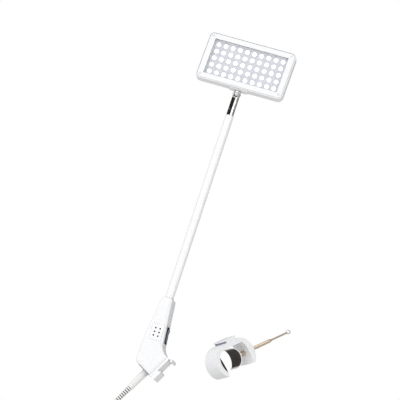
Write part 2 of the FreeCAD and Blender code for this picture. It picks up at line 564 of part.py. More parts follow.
def build_clamp_body():
    tip_out = on_circle(HOOK_CENTRE, HOOK_R, HOOK_END)
    tip_in = on_circle(SEAT_CENTRE, SEAT_R, HOOK_END)
    top_left, top_right = (HOOK_CENTRE[0], CLAMP_TOP), (34.5, CLAMP_TOP)
    wall_end, wall_in, corner = (46.9, -20.0), (40.0, -19.2), (35.5, CLAMP_CEILING)
    seat_top = (SEAT_CENTRE[0], CLAMP_CEILING)
    edges = [arc(tip_out, on_circle(HOOK_CENTRE, HOOK_R, 175), top_left), line(top_left, top_right),
             arc(top_right, (51.6, 11.0), wall_end), line(wall_end, wall_in),
             arc(wall_in, (43.2, -2.0), corner), line(corner, seat_top),
             arc(seat_top, on_circle(SEAT_CENTRE, SEAT_R, 165), tip_in), line(tip_in, tip_out)]
    body = slab(Part.Wire(edges), 2 * CLAMP_HALF)
    stem = block(15 - 9.7, 15 + 9.7, -CLAMP_HALF, CLAMP_HALF, CLAMP_TOP - 0.5, CLAMP_TOP + 3.3)
    bush_hole = rod(V(BUSH_FROM, 0, 0), X, BUSH_R, BUSH_TO - BUSH_FROM)
    bush_hole = bush_hole.fuse(rod(V(BUSH_TO - 1, 0, 0), X, SCREW_R + 0.3, 8))
    holes = [rod(V(15, y, 20), Z, 1.5, 12) for y in (-8, 8)]
    sinks = [rod(V(15, y, 18), Z, 3.2, 5.0) for y in (-8, 8)]
    body = body.fuse(stem).cut([bush_hole] + holes + sinks)
    save("clamp_body", body.removeSplitter(), CLAMP)
    base = CLAMP_TOP + 3.3
    rail = plate([(15 - 12.4, base, 0.5), (15 + 12.4, base, 0.5), (15 + 12.4, base + 2.6, 0.8),
                  (15 - 12.4, base + 2.6, 0.8)], -CLAMP_HALF, CLAMP_HALF)
    save("clamp_rail", rail.cut([rod(V(15, y, 20), Z, 1.3, 20) for y in (-8, 8)]), CLAMP)
    save("rail_screws", group([screw(V(15, y, 23.0), Z, 1.25, 10.2, 2.9, 1.8) for y in (-8, 8)]), CLAMP)
    bush = ring(V(BUSH_FROM, 0, 0), X, BUSH_R, SCREW_R + RUNNING, BUSH_TO - BUSH_FROM)
    save("screw_bush", bush, CLAMP)


def jaw_line(shift):
    """Two points of the fixed jaw's face, moved along the screw."""
    return (-19.6 + shift, 16.0), (-12.2 + shift, -21.0)


def build_fixed_jaw():
    seat = rod(V(SEAT_CENTRE[0], -CLAMP_HALF, SEAT_CENTRE[1]), Y, SEAT_R, 2 * CLAMP_HALF)
    upper, lower = jaw_line(0.0)
    left = plate([(-40, 16.0), (-40, -21.0), lower, upper], -CLAMP_HALF, CLAMP_HALF)
    top, mid, end = (-18.6, 11.0), (-19.6, -2.4), (-13.2, -16.0)
    rubber = slab(Part.Wire([arc(top, mid, end), arc(end, (-15.2, -2.8), top)]), 2 * CLAMP_HALF)
    save("fixed_jaw", seat.common(left).cut(rubber), CLAMP)
    save("fixed_jaw_rubber", rubber, CLAMP)


def build_pad():
    """Saddle that presses on the tube: hollow-faced rubber in a curved cup with a boss."""
    horn = PAD_CENTRE + PAD_R, math.sqrt(PAD_R ** 2 - (PAD_HORN - PAD_CENTRE) ** 2)
    top, low = (PAD_HORN, horn[1]), (PAD_HORN, -horn[1])
    keep = block(-20, 60, -PAD_HALF, PAD_HALF, -30, 30)
    rubber = slab(Part.Wire([arc(top, (horn[0], 0), low), arc(low, (PAD_FACE, 0), top)]), 2 * CLAMP_HALF)
    core = rod(V(PAD_CENTRE, -CLAMP_HALF, 0), Y, PAD_R, 2 * CLAMP_HALF)
    shell = rod(V(PAD_CENTRE, -CLAMP_HALF, 0), Y, CUP_R, 2 * CLAMP_HALF)
    shell = shell.common(block(12.8, 60, -PAD_HALF, PAD_HALF, -30, 30))
    cup = shell.fuse(rod(V(24, 0, 0), X, 6.4, BOSS_END - 24)).cut(core)
    room = rod(V(BUTTON_AT - 0.3, 0, 0), X, 4.2, BUTTON_T + 0.6)
    cup = cup.cut([room, rod(V(BUTTON_AT, 0, 0), X, 2.5, 12)])
    save("pad_rubber", rubber.common(keep), CLAMP)
    save("pad_cup", cup.removeSplitter(), CLAMP)


def build_screw():
    """Threaded screw with a turned neck held in the cup, and a folding handle at its end."""
    shaft = rod(V(BOSS_END + 2, 0, 0), X, SCREW_R, SCREW_END - BOSS_END - 2)
    neck = rod(V(BUTTON_AT + 1, 0, 0), X, 2.5 - RUNNING, BOSS_END - BUTTON_AT + 1.5)
    button = rod(V(BUTTON_AT, 0, 0), X, 4.0, BUTTON_T)
    fork = block(SCREW_END - 5, SCREW_END + 3, -4, 4, -0.95, 0.95)
    hole = rod(V(SCREW_END - 2.0, 0, -4), Z, 0.9, 8)
    turned = joined([shaft, neck, button])
    save("clamp_screw", turned.cut([fork.translated(V(0.4, 0, 0)), hole]), CLAMP)
    pin = rod(V(SCREW_END - 2.0, 0, -2.9), Z, 0.9, 5.8)
    save("handle_pin", pin, CLAMP)
    eye = rod(V(SCREW_END - 2.0, 0, -0.85), Z, 2.0, 1.7)
    bar = rod(V(SCREW_END + 2.2, 0, 0), X, 1.5, HANDLE_LONG - 4)
    web = block(SCREW_END - 2.0, SCREW_END + 2.8, -1.4, 1.4, -0.85, 0.85)
    ball = Part.makeSphere(3.8, V(SCREW_END + HANDLE_LONG, 0, 0))
    handle = joined([eye, web, bar, ball]).cut(rod(V(SCREW_END - 2.0, 0, -4), Z, 0.9 + RUNNING, 8))
    save("screw_handle", handle, CLAMP)


def build_plug():
    """Flat two-pin plug hanging from the lead's end, pins down."""
    x, z = PLUG_TOP
    tail_from = V(x, 0, COIL_CENTRE[1] - 26.5)
    save("plug_lead", rod(tail_from, -Z, CORD_R, tail_from.z - z))
    frame = FreeCAD.Placement(V(x, 0, z), FreeCAD.Rotation())
    grip = taper(V(0, 0, -20), Z, 5.2, 3.8, 20.0).cut(rod(V(0, 0, -12), Z, CORD_R, 14))
    save("plug_relief", grip, frame)
    body = plate([(-8, -20, 2.5), (8, -20, 2.5), (13.2, -34, 12.0), (17.7, -48, 3.0), (17.7, -56, 1.0),
                  (-17.7, -56, 1.0), (-17.7, -48, 3.0), (-13.2, -34, 12.0)], -6.9, 6.9)
    body = rounded(body, 2.2, lambda edge: in_plane_y(6.9)(edge) or in_plane_y(-6.9)(edge))
    sockets = [rod(V(side * PIN_SPACING / 2, 0, -57), Z, 1.6, 9) for side in (-1, 1)]
    save("plug_body", body.cut(sockets), frame)
    save("plug_pins", group([plug_pin(side * PIN_SPACING / 2) for side in (-1, 1)]), frame)


def plug_pin(x):
    """Round-ended pin that stands 19 mm out of the plug, on a thinner root."""
    pin = rod(V(x, 0, -75), Z, PLUG_PIN_R, 18.7)
    pin = rounded(pin, 0.8, lambda edge: abs(edge.CenterOfMass.z + 75) < 0.1)
    return joined([pin, rod(V(x, 0, -57), Z, 1.6, 9)])


def build_tie():
    x, z = COIL_CENTRE
    near, far, half = COIL_MEAN - COIL_HALF, COIL_MEAN + COIL_HALF, COIL_HALF
    band = block(near - 1.8, far + 1.4, -half - 1.4, half + 1.4, -3, 3)
    hole = block(near - 0.5, far + 0.1, -half - 0.1, half + 0.1, -4, 4)
    save("cord_tie", band.cut(hole), FreeCAD.Placement(V(x, 0, z), FreeCAD.Rotation()))


os.makedirs("parts", exist_ok=True)
build_base()
build_vent()
build_socket()
build_electrics()
build_switch()
build_cord(build_lead())
build_tie()
build_plug()
build_arm()
build_knuckle()
build_head_shells()
build_head_inside()
build_tongue()
build_clamp_body()
build_fixed_jaw()
build_pad()
build_screw()
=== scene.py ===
"""LED display arm light with its loose tube clamp, in a plain white studio. Metres."""

import json
import math

import bmesh
import bpy
from mathutils import Matrix, Vector


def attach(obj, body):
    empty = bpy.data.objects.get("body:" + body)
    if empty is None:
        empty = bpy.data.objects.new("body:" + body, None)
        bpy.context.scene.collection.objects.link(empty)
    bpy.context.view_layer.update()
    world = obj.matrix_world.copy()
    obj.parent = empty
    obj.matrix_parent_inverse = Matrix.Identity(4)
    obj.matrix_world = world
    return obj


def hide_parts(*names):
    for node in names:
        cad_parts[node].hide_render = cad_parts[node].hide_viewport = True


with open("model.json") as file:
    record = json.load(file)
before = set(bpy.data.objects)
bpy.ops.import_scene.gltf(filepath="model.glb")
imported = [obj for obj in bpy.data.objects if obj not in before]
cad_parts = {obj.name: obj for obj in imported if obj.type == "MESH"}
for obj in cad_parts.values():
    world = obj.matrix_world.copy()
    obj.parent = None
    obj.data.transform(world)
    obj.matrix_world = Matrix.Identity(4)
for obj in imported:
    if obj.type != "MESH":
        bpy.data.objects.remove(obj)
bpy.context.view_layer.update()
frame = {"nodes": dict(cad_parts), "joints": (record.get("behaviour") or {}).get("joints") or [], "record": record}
MM = 0.001

# ---- places worked out from the frame's joints ----------------------------------------------
JOINTS = {joint["name"]: joint for joint in frame["joints"]}


def axes(x, z, at):
    """Matrix of a frame with its X axis, its Z axis and its origin."""
    x, z = Vector(x).normalized(), Vector(z).normalized()
    y = z.cross(x).normalized()
    return Matrix.Translation(Vector(at)) @ Matrix((x, y, z)).transposed().to_4x4()


HEAD_NOD = -8.2            # the head's lean on the tilt pin at rest, degrees
RAIL_TURN = -43.5          # the rail channel's turn about Y, degrees
ARM_START = 358.5          # from the arm's lower end to the tilt pin, mm
ARM_END = -38.5            # the arm tube's upper end, in the swivel's frame, mm
HANDLE_PIN = 102.5         # the handle's pin along the clamp screw, mm
BALL = 146.5               # the handle's ball along the clamp screw, mm
HEAD_Z = 50.5              # the head's middle above the tilt pin, mm
LED_PITCH = 12.5           # mm
BOARD_FACE = -4.4          # the LED board's face, in the head's frame, mm
LEAD_Z = 16.5              # the lead's axis, in the rail's frame, mm
BASE_END = -28.0           # the base's lower end, in the rail's frame, mm
RIB_START = -65.4          # the relief's first rib, in the rail's frame, mm
RIB, RIB_PITCH = 2.3 * MM, 3.9 * MM

PIVOT = Vector(JOINTS["head_swivel"]["pos_m"])
ARM_DIR = Vector(JOINTS["head_swivel"]["axis"])
SCREW_DIR = Vector(JOINTS["screw_turn"]["axis"])
SWIVEL = axes(JOINTS["head_tilt"]["axis"], ARM_DIR, PIVOT)
HEAD = SWIVEL @ Matrix.Rotation(math.radians(HEAD_NOD), 4, "X")
ARM = axes(Vector((ARM_DIR.z, 0, -ARM_DIR.x)), ARM_DIR, PIVOT - ARM_DIR * ARM_START * MM)
CLAMP = axes(SCREW_DIR, JOINTS["handle_fold"]["axis"],
             Vector(JOINTS["handle_fold"]["pos_m"]) - SCREW_DIR * HANDLE_PIN * MM)
RAIL = Matrix.Rotation(math.radians(RAIL_TURN), 4, "Y")


def spot(place, x, y, z):
    """Point given in mm in a frame."""
    return place @ (Vector((x, y, z)) * MM)


LEAD_DIR = (RAIL.to_3x3() @ Vector((-1, 0, 0))).normalized()
FIRST_RIB = spot(RAIL, RIB_START, 0, LEAD_Z)
BALL_AT = spot(CLAMP, BALL, 0, 0)


# ---- camera and light -----------------------------------------------------------------------
AZIMUTH, ELEVATION = 11.0, -15.3     # degrees to the right of the front, and up
LENS, SENSOR = 225.0, 36.0           # mm
ASIDE, ABOVE, AWAY = 0.0559, 0.2679, 4.025     # the camera's place from the origin, along its own axes


def make_camera():
    """Long lens that looks up at the light from a little to its right."""
    azimuth, elevation = math.radians(AZIMUTH), math.radians(ELEVATION)
    back = Vector((math.sin(azimuth) * math.cos(elevation), -math.cos(azimuth) * math.cos(elevation),
                   math.sin(elevation)))
    right = Vector((math.cos(azimuth), math.sin(azimuth), 0))
    up = back.cross(right)
    data = bpy.data.cameras.new("camera")
    data.sensor_width, data.lens = SENSOR, LENS
    data.clip_start, data.clip_end = 0.1, 60.0
    camera = bpy.data.objects.new("camera", data)
    bpy.context.scene.collection.objects.link(camera)
    place = right * ASIDE + up * ABOVE + back * AWAY
    camera.matrix_world = Matrix.Translation(place) @ Matrix((right, up, back)).transposed().to_4x4()
    bpy.context.scene.camera = camera


make_camera()


# ---- materials ------------------------------------------------------------------------------
def node(tree, kind, **values):
    """New node with its named inputs set."""
    made = tree.nodes.new(kind)
    for name, value in values.items():
        made.inputs[name.replace("_", " ")].default_value = value
    return made


def noise(tree, coords, size, detail=3.0, stretch=(1, 1, 1)):
    """Noise whose features are about size metres across."""
    mapping = node(tree, "ShaderNodeMapping", Scale=tuple(s / size for s in stretch))
    texture = node(tree, "ShaderNodeTexNoise", Scale=1.0, Detail=detail, Roughness=0.55)
    tree.links.new(coords.outputs["Object"], mapping.inputs["Vector"])
    tree.links.new(mapping.outputs["Vector"], texture.inputs["Vector"])
    return texture.outputs["Fac"]


def spread(tree, value, low, high):
    """The value, 0.3 to 0.7 in practice, mapped to low to high."""
    ranged = node(tree, "ShaderNodeMapRange", From_Min=0.3, From_Max=0.7, To_Min=low, To_Max=high)
    tree.links.new(value, ranged.inputs["Value"])
    return ranged.outputs["Result"]


def tint(colour, factor):
    """The colour made lighter or darker, with full alpha."""
    return tuple(min(1.0, c * factor) for c in colour[:3]) + (1.0,)


def surface(name, colour, rough, metallic=0.0, mottle=0.02, mottle_size=0.03, grain=0.1, grain_size=0.0006,
            coat=0.0, stretch=(1, 1, 1), specular=0.5):
    """Principled surface with soft colour changes, uneven gloss and a fine moulded or drawn grain."""
    made = bpy.data.materials.new(name)
    made.use_nodes = True
    tree = made.node_tree
    shader = tree.nodes["Principled BSDF"]
    shader.inputs["Metallic"].default_value = metallic
    shader.inputs["Coat Weight"].default_value = coat
    shader.inputs["Coat Roughness"].default_value = 0.12
    shader.inputs["Specular IOR Level"].default_value = specular
    coords = tree.nodes.new("ShaderNodeTexCoord")
    ramp = tree.nodes.new("ShaderNodeValToRGB")
    ramp.color_ramp.elements[0].position, ramp.color_ramp.elements[1].position = 0.3, 0.7
    ramp.color_ramp.elements[0].color = tint(colour, 1 - mottle)
    ramp.color_ramp.elements[1].color = tint(colour, 1 + mottle)
    tree.links.new(noise(tree, coords, mottle_size), ramp.inputs["Fac"])
    tree.links.new(ramp.outputs["Color"], shader.inputs["Base Color"])
    gloss = spread(tree, noise(tree, coords, mottle_size * 0.4, 4.0), rough * 0.85, rough * 1.15)
    tree.links.new(gloss, shader.inputs["Roughness"])
    bump = node(tree, "ShaderNodeBump", Strength=grain, Distance=0.0001)
    tree.links.new(noise(tree, coords, grain_size, 2.0, stretch), bump.inputs["Height"])
    tree.links.new(bump.outputs["Normal"], shader.inputs["Normal"])
    return made


def glowing(name, colour, strength):
    """Lens that gives light of its own, a little uneven across the array."""
    made = surface(name, colour, 0.25, grain=0.02)
    tree = made.node_tree
    shader = tree.nodes["Principled BSDF"]
    coords = tree.nodes.new("ShaderNodeTexCoord")
    shader.inputs["Emission Color"].default_value = tint(colour, 1.0)
    tree.links.new(spread(tree, noise(tree, coords, 0.02), strength * 0.92, strength * 1.08),
                   shader.inputs["Emission Strength"])
    return made


def clear(name, colour, rough):
    """Thin clear pane that lets light straight through, with a faint gloss."""
    made = surface(name, colour, rough, grain=0.01)
    tree = made.node_tree
    shader = tree.nodes["Principled BSDF"]
    shader.inputs["Alpha"].default_value = 0.06
    made.surface_render_method = "BLENDED"
    return made


def ringed_rubber(name, colour, centre):
    """Rubber with turned rings about a point, as on the end faces of the clamp's pad."""
    made = surface(name, colour, 0.55, grain=0.25, grain_size=0.0008, mottle=0.15)
    tree = made.node_tree
    coords = tree.nodes.new("ShaderNodeTexCoord")
    mapping = node(tree, "ShaderNodeMapping", Location=tuple(-c for c in centre))
    rings = node(tree, "ShaderNodeTexWave", Scale=70.0, Distortion=0.0)
    rings.wave_type, rings.rings_direction = "RINGS", "SPHERICAL"
    bump = node(tree, "ShaderNodeBump", Strength=0.5, Distance=0.0004)
    first = [n for n in tree.nodes if n.bl_idname == "ShaderNodeBump"][0]
    tree.links.new(coords.outputs["Object"], mapping.inputs["Vector"])
    tree.links.new(mapping.outputs["Vector"], rings.inputs["Vector"])
    tree.links.new(rings.outputs["Fac"], bump.inputs["Height"])
    tree.links.new(first.outputs["Normal"], bump.inputs["Normal"])
    tree.links.new(bump.outputs["Normal"], tree.nodes["Principled BSDF"].inputs["Normal"])
    return made


def two_toned(name, base, colour, choose):
    """A copy of a material with a second colour where choose's value is 1."""
    made = base.copy()
    made.name = name
    tree = made.node_tree
    shader = tree.nodes["Principled BSDF"]
    mix = node(tree, "ShaderNodeMixRGB", Color2=colour + (1.0,))
    tree.links.new(choose(tree, tree.nodes.new("ShaderNodeTexCoord")), mix.inputs["Fac"])
    tree.links.new(shader.inputs["Base Color"].links[0].from_socket, mix.inputs["Color1"])
    tree.links.new(mix.outputs["Color"], shader.inputs["Base Color"])
    return made


def maths(tree, operation, value, second, third=0.0):
    """Result of one operation on a value and one or two numbers."""
    made = tree.nodes.new("ShaderNodeMath")
    made.operation = operation
    made.inputs[1].default_value, made.inputs[2].default_value = second, third
    tree.links.new(value, made.inputs[0])
    return made.outputs["Value"]


def vector_maths(tree, operation, coords, vector):
    """Dot product with a vector, or distance from it, at each point."""
    made = tree.nodes.new("ShaderNodeVectorMath")
    made.operation = operation
    made.inputs[1].default_value = vector
    tree.links.new(coords.outputs["Object"], made.inputs[0])
    return made.outputs["Value"]


def in_shaded_groove(tree, coords):
    """1 between the relief's ribs, which are RIB long and one RIB_PITCH apart; there the white is painted dark as
    shade in the grooves.
    """
    along = vector_maths(tree, "DOT_PRODUCT", coords, LEAD_DIR)
    turns = maths(tree, "MULTIPLY_ADD", along, 1 / RIB_PITCH, -LEAD_DIR.dot(FIRST_RIB) / RIB_PITCH)
    return maths(tree, "GREATER_THAN", maths(tree, "FRACT", turns, 0.0), RIB / RIB_PITCH)


def in_ball(tree, coords):
    """1 at the handle's ball end."""
    return maths(tree, "LESS_THAN", vector_maths(tree, "DISTANCE", coords, BALL_AT), 4.2 * MM)


MATERIALS = {
    "housing_white": surface("housing_white", (0.86, 0.865, 0.875), 0.38, mottle=0.006, grain=0.02,
                             grain_size=0.0007),
    "arm_white": surface("arm_white", (0.89, 0.89, 0.895), 0.25, mottle=0.004, grain=0.008, coat=0.4),
    "trim_white": surface("trim_white", (0.82, 0.82, 0.81), 0.45, mottle=0.01, grain=0.03),
    "cord_white": surface("cord_white", (0.82, 0.82, 0.81), 0.5, grain=0.04, mottle=0.015),
    "chrome": surface("chrome", (0.74, 0.72, 0.70), 0.09, metallic=1.0, mottle=0.38, mottle_size=0.005,
                      grain=0.03),
    "black_plastic": surface("black_plastic", (0.006, 0.006, 0.007), 0.5, grain=0.08, mottle=0.1,
                             specular=0.12),
    "switch_grey": surface("switch_grey", (0.16, 0.18, 0.23), 0.3, grain=0.06, mottle=0.06),
    "black_rubber": surface("black_rubber", (0.012, 0.010, 0.009), 0.65, grain=0.15, mottle=0.15,
                            specular=0.2),
    "zinc_steel": surface("zinc_steel", (0.62, 0.62, 0.64), 0.28, metallic=1.0, grain=0.1),
    "nickel_brass": surface("nickel_brass", (0.62, 0.51, 0.39), 0.26, metallic=1.0, mottle=0.06, grain=0.08),
    "clear_pane": clear("clear_pane", (0.9, 0.93, 0.97), 0.05),
    "board_grey": surface("board_grey", (0.56, 0.58, 0.62), 0.45, mottle=0.02, grain=0.02),
    "board_green": surface("board_green", (0.03, 0.16, 0.07), 0.35, mottle=0.08, grain=0.08),
    "led_lens": glowing("led_lens", (1.0, 1.0, 1.0), 0.9),
    "aluminium": surface("aluminium", (0.72, 0.74, 0.78), 0.3, metallic=1.0, grain=0.15,
                         stretch=(1, 0.06, 1)),
    "component_black": surface("component_black", (0.03, 0.03, 0.035), 0.4, grain=0.12, mottle=0.1),
    "terminal_green": surface("terminal_green", (0.05, 0.26, 0.10), 0.3, grain=0.05, mottle=0.06),
    "copper_wire": surface("copper_wire", (0.05, 0.05, 0.05), 0.5, grain=0.1, mottle=0.1),
    "pad_rubber": ringed_rubber("pad_rubber", (0.020, 0.014, 0.011), spot(CLAMP, 11.0, 0, 0)),
    "rim_grey": surface("rim_grey", (0.66, 0.68, 0.71), 0.4, mottle=0.02, grain=0.02),
    "dull_steel": surface("dull_steel", (0.16, 0.16, 0.17), 0.5, metallic=1.0, grain=0.05),
    # dark seams and seals, and also painted shade in the bezel's gap, the base's end gap and the knuckle's cuts
    "dark_seam_and_gap_shade": surface("dark_seam_and_gap_shade", (0.05, 0.05, 0.055), 0.5, grain=0.1, mottle=0.1),
    # painted shade: grey-blue colour of the dark sheets on the clamp rail's stem, standing for its shaded sides
    "rail_side_shade_grey": surface("rail_side_shade_grey", (0.25, 0.29, 0.38), 0.35, grain=0.1, mottle=0.08),
}
# painted shade: the white relief is painted dark between its ribs, standing for shade in the grooves
MATERIALS["ribbed_white_groove_shade"] = two_toned("ribbed_white_groove_shade", MATERIALS["cord_white"],
                                      (0.10, 0.10, 0.105), in_shaded_groove)
MATERIALS["handle_brass"] = two_toned("handle_brass", MATERIALS["nickel_brass"],
                                      (0.86, 0.86, 0.86), in_ball)


def dress_frame():
    """Every node takes the material of its slot, or one of its own."""
    special = {"pad_rubber": "pad_rubber", "cover_screw": "dull_steel",
               "strain_relief": "ribbed_white_groove_shade", "screw_handle": "handle_brass"}
    for part in frame["record"]["subparts"]:
        name = part["node"]
        wanted = MATERIALS[special.get(name, part["material_slot"])]
        held = frame["nodes"][name]
        for place in held.material_slots:
            place.material = wanted
        if not held.material_slots:
            held.data.materials.append(wanted)


dress_frame()


# ---- mesh helpers ---------------------------------------------------------------------------
def piece(name, mesh, look, body, smooth=True):
    """Puts a bmesh in the scene as a piece that rides on a body."""
    data = bpy.data.meshes.new(name)
    bmesh.ops.recalc_face_normals(mesh, faces=mesh.faces)
    mesh.to_mesh(data)
    mesh.free()
    for face in data.polygons:
        face.use_smooth = smooth
    data.materials.append(MATERIALS[look])
    made = bpy.data.objects.new(name, data)
    bpy.context.scene.collection.objects.link(made)
    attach(made, body)
    return made


def loft(mesh, rings, closed_path=False):
    """Skins closed rings of points one to the next, and caps the ends of an open path."""
    rows = [[mesh.verts.new(point) for point in ring] for ring in rings]
    pairs = list(zip(rows, rows[1:]))
    if closed_path:
        pairs.append((rows[-1], rows[0]))
    for a, b in pairs:
        for i in range(len(a)):
            j = (i + 1) % len(a)
            mesh.faces.new((a[i], a[j], b[j], b[i]))
    if not closed_path:
        mesh.faces.new(rows[0])
        mesh.faces.new(list(reversed(rows[-1])))
    return mesh


def lathe(mesh, place, profile, steps=40):
    """Turned solid about the frame's Z axis; the profile is (z, radius) in mm."""
    turns = [math.tau * i / steps for i in range(steps)]
    rings = [[spot(place, radius * math.cos(t), radius * math.sin(t), z) for t in turns]
             for z, radius in profile]
    return loft(mesh, rings)


def bead(mesh, place, z, radius, thick, steps=64, sides=10):
    """Ring of round section about the frame's Z axis, in mm."""
    rings = []
    for i in range(steps):
        t = math.tau * i / steps
        ring = []
        for k in range(sides):
            s = math.tau * k / sides
            r = radius + thick * math.cos(s)
            ring.append(spot(place, r * math.cos(t), r * math.sin(t), z + thick * math.sin(s)))
        rings.append(ring)
    return loft(mesh, rings, closed_path=True)


# ---- supply lead ----------------------------------------------------------------------------
CORD_D = 0.006
COIL_AT = Vector((-76.0, 0, -148.0)) * MM
LAYERS = (39.0, 33.0, 27.0)          # radii of the coil's three layers, mm
TURN_POINTS = 16
SHIFT_LONG = 0.125                   # share of a turn in which it moves to its neighbour's place


def coil_points():
    """Control points of seven turns, column by column, each easing into its neighbour's place."""
    outer, middle, inner = LAYERS
    column = CORD_D / MM
    leave = 6.6
    places = [(outer, column), (middle, column), (inner, column), (inner, 0), (middle, 0), (outer, 0),
              (outer, -column), (outer + leave, -column)]
    shift_start = [0.875, 0.875, 0.75, 0.625, 0.625, 0.5, 0.8125]
    out = []
    # a quadratic curve runs inside its points, so they stand a little further out
    grow = 1 / (0.75 + 0.25 * math.cos(math.tau / TURN_POINTS))
    for turn, start in enumerate(shift_start):
        for i in range(TURN_POINTS):
            part = i / TURN_POINTS
            ease = min(1.0, max(0.0, (part - start) / SHIFT_LONG))
            radius = (places[turn][0] * (1 - ease) + places[turn + 1][0] * ease) * grow * MM
            side = (places[turn][1] * (1 - ease) + places[turn + 1][1] * ease) * MM
            angle = math.pi + math.tau * part
            out.append(COIL_AT + Vector((radius * math.cos(angle), side, radius * math.sin(angle))))
    return out


def lead_route():
    """The lead from its relief to the plug: down in a long bend, round the coil, and on to the plug."""
    start = [(-82.7, 0, -55.8), (-98.2, 0, -70.4), (-107.8, 0.6, -88.5), (-112.8, 3.0, -108.0),
             (-115.2, 5.6, -128.0)]
    end = [(-121.8, -6, -149.0), (-121.0, -5.4, -166.0), (-114.8, -2.2, -184.0), (-109.4, -0.1, -198.0),
           (-109.0, 0, -212.0)]
    return [Vector(p) * MM for p in start] + coil_points() + [Vector(p) * MM for p in end]


def make_lead():
    """The whole lead as one round curve."""
    route = lead_route()
    curve = bpy.data.curves.new("supply_lead", "CURVE")
    curve.dimensions = "3D"
    curve.bevel_depth = CORD_D / 2
    curve.bevel_resolution = 4
    curve.resolution_u = 6
    curve.use_fill_caps = True
    spline = curve.splines.new("NURBS")
    spline.points.add(len(route) - 1)
    for point, place in zip(spline.points, route):
        point.co = (*place, 1.0)
    spline.order_u = 3
    spline.use_endpoint_u = True
    curve.materials.append(MATERIALS["cord_white"])
    made = bpy.data.objects.new("supply_lead", curve)
    bpy.context.scene.collection.objects.link(made)
    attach(made, "base")
    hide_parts("supply_cord", "cord_coil", "plug_lead")
    return made


def make_tie():
    """Strap round the coil's section, with a rounded shape and a small buckle."""
    mesh = bmesh.new()
    centre = COIL_AT + Vector((LAYERS[1] * MM, 0, 0))
    half, corner, thick, wide = 9.3, 4.5, 0.9, 2.8
    rings = []
    for quarter in range(4):
        for i in range(7):
            t = math.radians(90 * quarter + 90 * i / 6)
            sx, sy = ((1, 1), (-1, 1), (-1, -1), (1, -1))[quarter]
            mid = Vector(((half - corner) * sx, (half - corner) * sy))
            out = Vector((math.cos(t), math.sin(t)))
            ring = []
            for r, z in ((corner, -wide), (corner + thick, -wide + 0.3),
                         (corner + thick, wide - 0.3), (corner, wide)):
                flat = mid + out * r
                ring.append(centre + Vector((flat.x, flat.y, z)) * MM)
            rings.append(ring)
    loft(mesh, rings, closed_path=True)
    buckle = bmesh.ops.create_cube(mesh, size=1.0)["verts"]
    for v in buckle:
        v.co = centre + Vector((half + 0.3 + v.co.x * 1.6, v.co.y * 6.0, v.co.z * 6.6)) * MM
    made = piece("coil_tie", mesh, "black_plastic", "base", smooth=False)
    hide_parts("cord_tie")
    rounding = made.modifiers.new("rounded", "BEVEL")
    rounding.width, rounding.segments = 0.0003, 2
    return made


lead = make_lead()
tie = make_tie()


# ---- small visible pieces -------------------------------------------------------------------
def make_arm_lip():
    """Rolled edge at the arm's upper end, and the dark seal where the knuckle turns in it."""
    mesh = bmesh.new()
    bead(mesh, SWIVEL, ARM_END - 0.35, 6.45, 0.5)
    piece("arm_lip", mesh, "arm_white", "base")
    mesh = bmesh.new()
    bead(mesh, SWIVEL, ARM_END + 0.2, 5.95, 0.22)
    piece("knuckle_seal", mesh, "dark_seam_and_gap_shade", "swivel")


def make_base_seal():
    """Thin dark joint where the arm leaves the base."""
    mesh = bmesh.new()
    bead(mesh, ARM, 0.6, 7.05, 0.3)
    piece("arm_seal", mesh, "dark_seam_and_gap_shade", "base")


def make_bezel_gap_shade():
    """Dark bottom of the narrow gap between the bezel and the head's housing: painted shade in the gap."""
    mesh = bmesh.new()
    half_w, half_h, corner = 73.85, 41.35, 7.35
    near, far = corner - 0.22, corner + 0.22
    front, bottom = -10.3, -9.6
    rings = []
    for quarter, (sx, sz) in enumerate(((1, 1), (-1, 1), (-1, -1), (1, -1))):
        for i in range(9):
            t = math.radians(90 * quarter + 90 * i / 8)
            ring = []
            for r, y in ((near, front), (far, front), (far, bottom), (near, bottom)):
                x = (half_w - corner) * sx + r * math.cos(t)
                z = HEAD_Z + (half_h - corner) * sz + r * math.sin(t)
                ring.append(spot(HEAD, x, y, z))
            rings.append(ring)
    loft(mesh, rings, closed_path=True)
    piece("bezel_gap_shade", mesh, "dark_seam_and_gap_shade", "head", smooth=False)


def make_end_gap_shade():
    """Thin dark ring on the base's lower end, round the lead's sleeve: painted shade for the shadowed gap between
    the housing's end and the sleeve.
    """
    mesh = bmesh.new()
    steps, hole, across, above, below = 48, 6.7, 13.2, 13.6, 12.0
    inner, outer = BASE_END - 0.05, BASE_END - 0.4
    rings = []
    for i in range(steps):
        t = math.tau * i / steps
        y, z = math.sin(t), math.cos(t)
        edge = above if z > 0 else below
        reach = min(across / max(abs(y), 1e-6), edge / max(abs(z), 1e-6))
        ring = []
        for r, x in ((hole, inner), (reach, inner), (reach, outer), (hole, outer)):
            ring.append(spot(RAIL, x, r * y, LEAD_Z + r * z))
        rings.append(ring)
    loft(mesh, rings, closed_path=True)
    piece("end_gap_shade", mesh, "dark_seam_and_gap_shade", "base", smooth=False)


def make_knuckle_groove_shade():
    """Slanted cuts round the chrome side of the knuckle, drawn as thin dark inlays: painted shade in the cuts."""
    mesh = bmesh.new()
    radius, count, pitch = 5.95, 7, 3.9
    lowest, rise, highest = -34.5, 7.0, -7.4
    from_angle, sweep, half_wide, steps = 286, 96, 0.28, 12
    low, high = radius - 0.1, radius + 0.05
    for line in range(count):
        rings = []
        for i in range(steps + 1):
            part = i / steps
            angle = math.radians(from_angle + sweep * part)
            z = lowest + line * pitch + rise * part
            wide = half_wide * math.sin(math.pi * min(1, max(0.03, part)))
            ring = []
            for r, dz in ((low, -wide), (high, -wide), (high, wide), (low, wide)):
                ring.append(spot(SWIVEL, r * math.cos(angle), r * math.sin(angle), min(z + dz, highest)))
            rings.append(ring)
        loft(mesh, rings)
    piece("knuckle_groove_shade", mesh, "dark_seam_and_gap_shade", "swivel")


